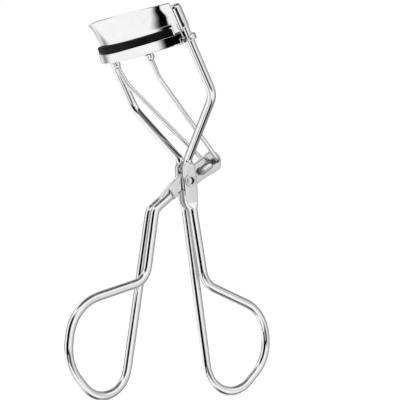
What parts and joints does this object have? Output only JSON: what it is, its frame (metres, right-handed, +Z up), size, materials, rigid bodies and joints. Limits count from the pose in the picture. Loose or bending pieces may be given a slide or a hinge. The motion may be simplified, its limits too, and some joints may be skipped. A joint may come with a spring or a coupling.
{
  "type": "eyelash curler",
  "caption": "Wire-framed eyelash curler: a curved pad jaw slides on two guide rods to meet a curved plate, worked by two looped wire handles through a pair of thin link wires.",
  "frame": {"origin": "on the surface the tool stands on, under the middle of its overall box", "axes": "X runs across the jaw, parallel to the hinge rivet; +Y points towards the fixed handle; +Z is up, towards the jaw"},
  "size_m": [0.039, 0.0664, 0.1009],
  "materials": {
    "polished_chrome": "polished nickel-chrome plate on steel wire and sheet",
    "black_rubber": "matte black silicone rubber"
  },
  "bodies": {
    "frame": {"upper_plate": "polished_chrome", "plate_clip_front": "polished_chrome", "plate_clip_rear": "polished_chrome", "rail_rod_front": "polished_chrome", "rail_rod_rear": "polished_chrome", "cheek_front": "polished_chrome", "cheek_rear": "polished_chrome", "fixed_handle_loop": "polished_chrome", "hinge_rivet": "polished_chrome", "rivet_washers": "polished_chrome"},
    "lever": {"lever_plate": "polished_chrome", "moving_handle_loop": "polished_chrome", "crank_swells": "polished_chrome"},
    "lower_jaw": {"lower_bar": "polished_chrome", "slide_eyelet_front": "polished_chrome", "slide_eyelet_rear": "polished_chrome", "rubber_pad": "black_rubber", "link_ferrules": "polished_chrome"},
    "link": {"link_wire_front": "polished_chrome", "link_wire_rear": "polished_chrome", "crank_pin": "polished_chrome"}
  },
  "joints": [
    {"name": "lever_hinge", "type": "hinge", "parent": "frame", "child": "lever", "pos_m": [0, 0.00475, 0.0573], "axis": [1, 0, 0], "range_deg": [-27, 0]},
    {"name": "jaw_slide", "type": "slide", "parent": "frame", "child": "lower_jaw", "axis": [0, -0.4909, 0.8712], "range_m": [-0.0048, 0]},
    {"name": "link_pivot", "type": "hinge", "parent": "lower_jaw", "child": "link", "pos_m": [0, -0.01271, 0.0881], "axis": [1, 0, 0], "range_deg": [-1.2, 0]}
  ],
  "couplings": [
    {"joint": "jaw_slide", "follows": "lever_hinge", "m_per_rad": 0.0101},
    {"joint": "link_pivot", "follows": "lever_hinge", "ratio": 0.04}
  ]
}
